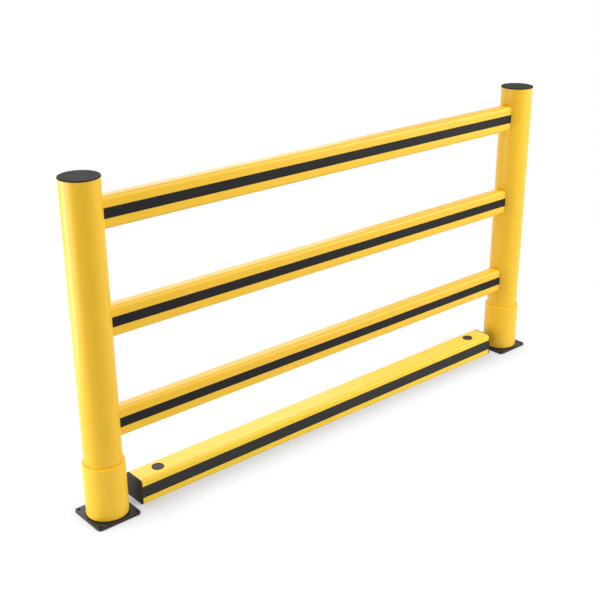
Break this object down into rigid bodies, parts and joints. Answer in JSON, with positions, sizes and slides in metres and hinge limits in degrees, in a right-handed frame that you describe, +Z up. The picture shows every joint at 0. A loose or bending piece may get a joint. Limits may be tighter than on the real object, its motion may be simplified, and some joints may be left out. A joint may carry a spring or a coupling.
{
  "type": "pedestrian barrier",
  "caption": "Free-standing bay of yellow polymer barrier: round posts on base plates, hollow handrails with black strips, and a separate kerb rail at floor level.",
  "frame": {"origin": "on the floor, midway between the two posts and on the line through their axes", "axes": "+X along the bay from the left post to the right post, +Y to the back (the side the kerb rail is set towards), +Z up"},
  "size_m": [2.16, 0.16, 1.14],
  "materials": {
    "yellow_polymer": "satin moulded polymer",
    "black_polymer": "satin moulded polymer",
    "black_steel": "black powder coat"
  },
  "bodies": {
    "root": {"left_base_plate": "black_steel", "left_base_spigot": "black_steel", "left_base_collar": "black_polymer", "left_base_sleeve": "yellow_polymer", "left_post": "yellow_polymer", "left_post_cap": "black_polymer", "right_base_plate": "black_steel", "right_base_spigot": "black_steel", "right_base_collar": "black_polymer", "right_base_sleeve": "yellow_polymer", "right_post": "yellow_polymer", "right_post_cap": "black_polymer", "top_rail": "yellow_polymer", "top_rail_front_strip": "black_polymer", "top_rail_back_strip": "black_polymer", "middle_rail": "yellow_polymer", "middle_rail_front_strip": "black_polymer", "middle_rail_back_strip": "black_polymer", "low_rail": "yellow_polymer", "low_rail_front_strip": "black_polymer", "low_rail_back_strip": "black_polymer", "kerb_rail": "yellow_polymer", "kerb_front_strip": "black_polymer", "kerb_back_strip": "black_polymer", "kerb_left_end_cap": "black_polymer", "kerb_right_end_cap": "black_polymer", "kerb_left_plug": "black_polymer", "kerb_right_plug": "black_polymer"}
  },
  "joints": []
}
